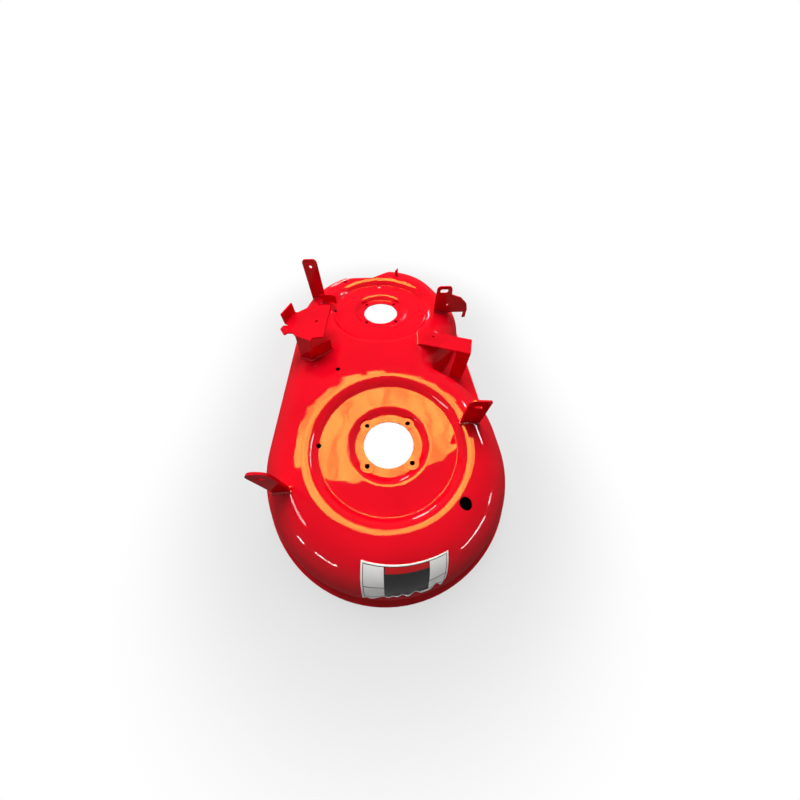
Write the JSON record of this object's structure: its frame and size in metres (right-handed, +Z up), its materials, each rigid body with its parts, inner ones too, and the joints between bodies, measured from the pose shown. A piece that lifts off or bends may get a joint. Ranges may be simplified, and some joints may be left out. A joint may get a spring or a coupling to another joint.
{
  "type": "lawn mower deck",
  "caption": "Drawn steel mower deck shell with two dished spindle seats, a flanged skirt, a side discharge opening and welded hanger brackets.",
  "frame": {"origin": "centre of the left spindle bore, on the top face of its seat", "axes": "+X to the rear of the mower, +Y to its right along the two spindles, +Z up along the spindle bores"},
  "size_m": [0.6315, 1.169, 0.25],
  "materials": {
    "red_paint": "gloss"
  },
  "bodies": {
    "root": {"deck_shell": "red_paint", "front_left_ear": "red_paint", "rear_left_ear": "red_paint", "front_right_ear": "red_paint", "front_right_strip": "red_paint", "front_bracket": "red_paint", "rear_right_hanger": "red_paint", "rear_bridge": "red_paint", "chute_tab": "red_paint"}
  },
  "joints": []
}
